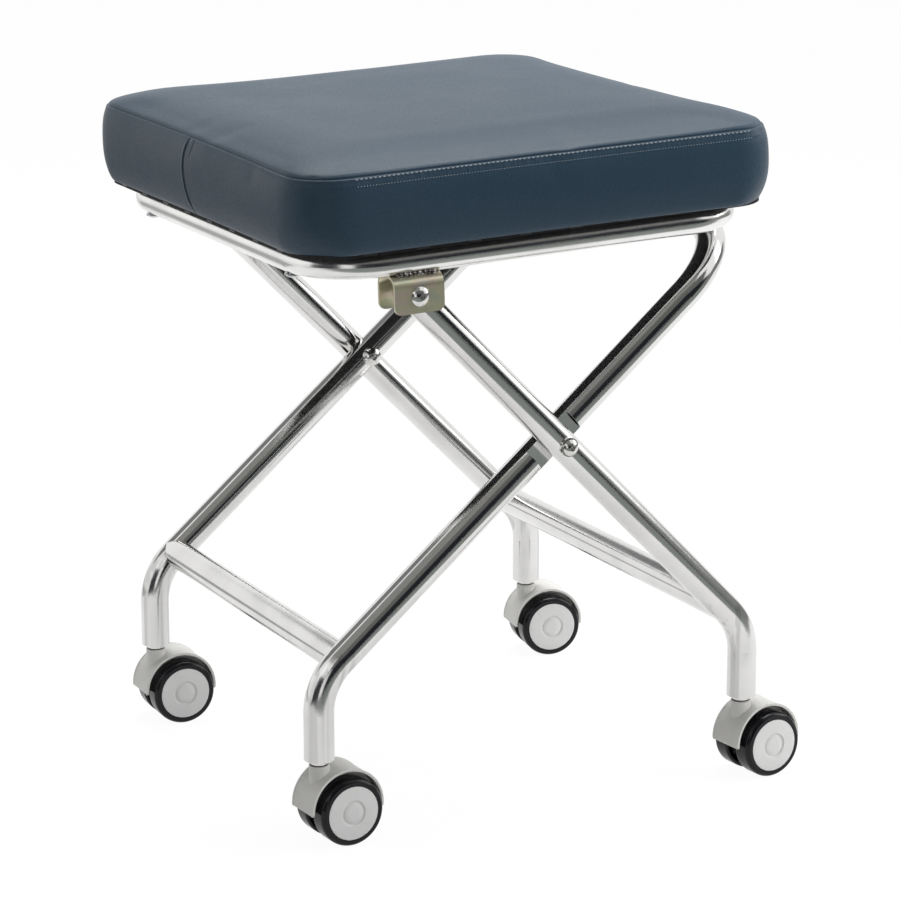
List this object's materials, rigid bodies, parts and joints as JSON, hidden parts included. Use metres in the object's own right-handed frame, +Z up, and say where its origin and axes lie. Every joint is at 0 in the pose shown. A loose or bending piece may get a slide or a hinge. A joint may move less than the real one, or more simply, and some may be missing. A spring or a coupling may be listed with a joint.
{
  "type": "shoe fitting stool",
  "caption": "Low upholstered stool on a crossed tubular steel frame with swivelling twin-wheel casters; the frame folds at its crossing pivots.",
  "frame": {"origin": "on the floor plane under the middle of the seat cushion, wheels standing on Z = 0", "axes": "+Z up, +X from the side with the seat pivots towards the side where the seat rests on the top bar, +Y from the front of the stool towards its rear"},
  "size_m": [0.417, 0.389, 0.5081],
  "materials": {
    "faux_leather": "smooth dark navy vinyl leathercloth, soft sheen",
    "foam": "open-cell cushion foam, matt",
    "plywood": "raw birch plywood, matt",
    "black_cloth": "thin woven black lining cloth",
    "polished_stainless": "polished stainless tube",
    "zinc_plated_steel": "bright zinc plate",
    "passivated_steel": "pale yellow passivated plate",
    "weld_bead": "dark weld bead",
    "bright_steel": "bright nickel plate",
    "white_nylon": "white nylon",
    "black_plastic": "black moulded plastic",
    "grey_plastic": "light warm grey moulded plastic, satin",
    "black_tread": "black cast tread, glossy"
  },
  "bodies": {
    "seat": {"seat_cover": "faux_leather", "seat_foam": "foam", "seat_board": "plywood", "dust_cloth": "black_cloth", "staples": "zinc_plated_steel", "t_nuts": "zinc_plated_steel", "seat_screws": "zinc_plated_steel", "seat_ring": "polished_stainless", "bracket_front": "passivated_steel", "bracket_rear": "passivated_steel", "bracket_welds": "weld_bead", "bar_saddles": "polished_stainless", "seat_pivot_bolts": "bright_steel", "seat_pivot_nuts": "bright_steel"},
    "outer_frame": {"outer_leg_front": "polished_stainless", "outer_leg_rear": "polished_stainless", "outer_cross_tube": "polished_stainless", "seat_pivot_bushes": "white_nylon", "crossing_screws": "bright_steel", "crossing_saddle_washers": "bright_steel", "crossing_spacers": "white_nylon", "crossing_sleeve_nuts": "bright_steel", "outer_caster_sockets": "black_plastic", "outer_caster_stems": "bright_steel"},
    "inner_frame": {"inner_frame_tube": "polished_stainless", "inner_cross_tube": "polished_stainless", "crossing_inner_washers": "bright_steel", "inner_caster_sockets": "black_plastic", "inner_caster_stems": "bright_steel"},
    "caster_front_left": {"hood_front_left": "grey_plastic", "axle_front_left": "bright_steel"},
    "wheel_front_left_a": {"wheel_front_left_a": "black_tread", "cap_front_left_a": "grey_plastic"},
    "wheel_front_left_b": {"wheel_front_left_b": "black_tread", "cap_front_left_b": "grey_plastic"},
    "caster_rear_left": {"hood_rear_left": "grey_plastic", "axle_rear_left": "bright_steel"},
    "wheel_rear_left_a": {"wheel_rear_left_a": "black_tread", "cap_rear_left_a": "grey_plastic"},
    "wheel_rear_left_b": {"wheel_rear_left_b": "black_tread", "cap_rear_left_b": "grey_plastic"},
    "caster_front_right": {"hood_front_right": "grey_plastic", "axle_front_right": "bright_steel"},
    "wheel_front_right_a": {"wheel_front_right_a": "black_tread", "cap_front_right_a": "grey_plastic"},
    "wheel_front_right_b": {"wheel_front_right_b": "black_tread", "cap_front_right_b": "grey_plastic"},
    "caster_rear_right": {"hood_rear_right": "grey_plastic", "axle_rear_right": "bright_steel"},
    "wheel_rear_right_a": {"wheel_rear_right_a": "black_tread", "cap_rear_right_a": "grey_plastic"},
    "wheel_rear_right_b": {"wheel_rear_right_b": "black_tread", "cap_rear_right_b": "grey_plastic"}
  },
  "joints": [
    {"name": "fold", "type": "hinge", "parent": "outer_frame", "child": "inner_frame", "pos_m": [0.0201, 0, 0.2769], "axis": [0, -1, 0], "range_deg": [0, 50]},
    {"name": "seat_tip", "type": "hinge", "parent": "outer_frame", "child": "seat", "pos_m": [-0.10009, 0, 0.39924], "axis": [0, -1, 0], "range_deg": [0, 110]},
    {"name": "swivel_front_left", "type": "hinge", "parent": "inner_frame", "child": "caster_front_left", "pos_m": [-0.1655, -0.1503, 0.031], "axis": [0, 0, 1], "continuous": true},
    {"name": "roll_front_left_a", "type": "hinge", "parent": "caster_front_left", "child": "wheel_front_left_a", "pos_m": [-0.14933, -0.14931, 0.025], "axis": [-0.061, 0.9981, 0], "continuous": true},
    {"name": "roll_front_left_b", "type": "hinge", "parent": "caster_front_left", "child": "wheel_front_left_b", "pos_m": [-0.14933, -0.14931, 0.025], "axis": [-0.061, 0.9981, 0], "continuous": true},
    {"name": "swivel_rear_left", "type": "hinge", "parent": "inner_frame", "child": "caster_rear_left", "pos_m": [-0.1655, 0.1503, 0.031], "axis": [0, 0, 1], "continuous": true},
    {"name": "roll_rear_left_a", "type": "hinge", "parent": "caster_rear_left", "child": "wheel_rear_left_a", "pos_m": [-0.14931, 0.14982, 0.025], "axis": [0.0297, 0.9996, 0], "continuous": true},
    {"name": "roll_rear_left_b", "type": "hinge", "parent": "caster_rear_left", "child": "wheel_rear_left_b", "pos_m": [-0.14931, 0.14982, 0.025], "axis": [0.0297, 0.9996, 0], "continuous": true},
    {"name": "swivel_front_right", "type": "hinge", "parent": "outer_frame", "child": "caster_front_right", "pos_m": [0.1772, -0.1684, 0.031], "axis": [0, 0, 1], "continuous": true},
    {"name": "roll_front_right_a", "type": "hinge", "parent": "caster_front_right", "child": "wheel_front_right_a", "pos_m": [0.19331, -0.16673, 0.025], "axis": [-0.1028, 0.9947, 0], "continuous": true},
    {"name": "roll_front_right_b", "type": "hinge", "parent": "caster_front_right", "child": "wheel_front_right_b", "pos_m": [0.19331, -0.16673, 0.025], "axis": [-0.1028, 0.9947, 0], "continuous": true},
    {"name": "swivel_rear_right", "type": "hinge", "parent": "outer_frame", "child": "caster_rear_right", "pos_m": [0.1772, 0.1684, 0.031], "axis": [0, 0, 1], "continuous": true},
    {"name": "roll_rear_right_a", "type": "hinge", "parent": "caster_rear_right", "child": "wheel_rear_right_a", "pos_m": [0.19318, 0.16573, 0.025], "axis": [0.165, 0.9863, 0], "continuous": true},
    {"name": "roll_rear_right_b", "type": "hinge", "parent": "caster_rear_right", "child": "wheel_rear_right_b", "pos_m": [0.19318, 0.16573, 0.025], "axis": [0.165, 0.9863, 0], "continuous": true}
  ],
  "couplings": [
    {"joint": "seat_tip", "follows": "fold", "ratio": 2.2}
  ]
}
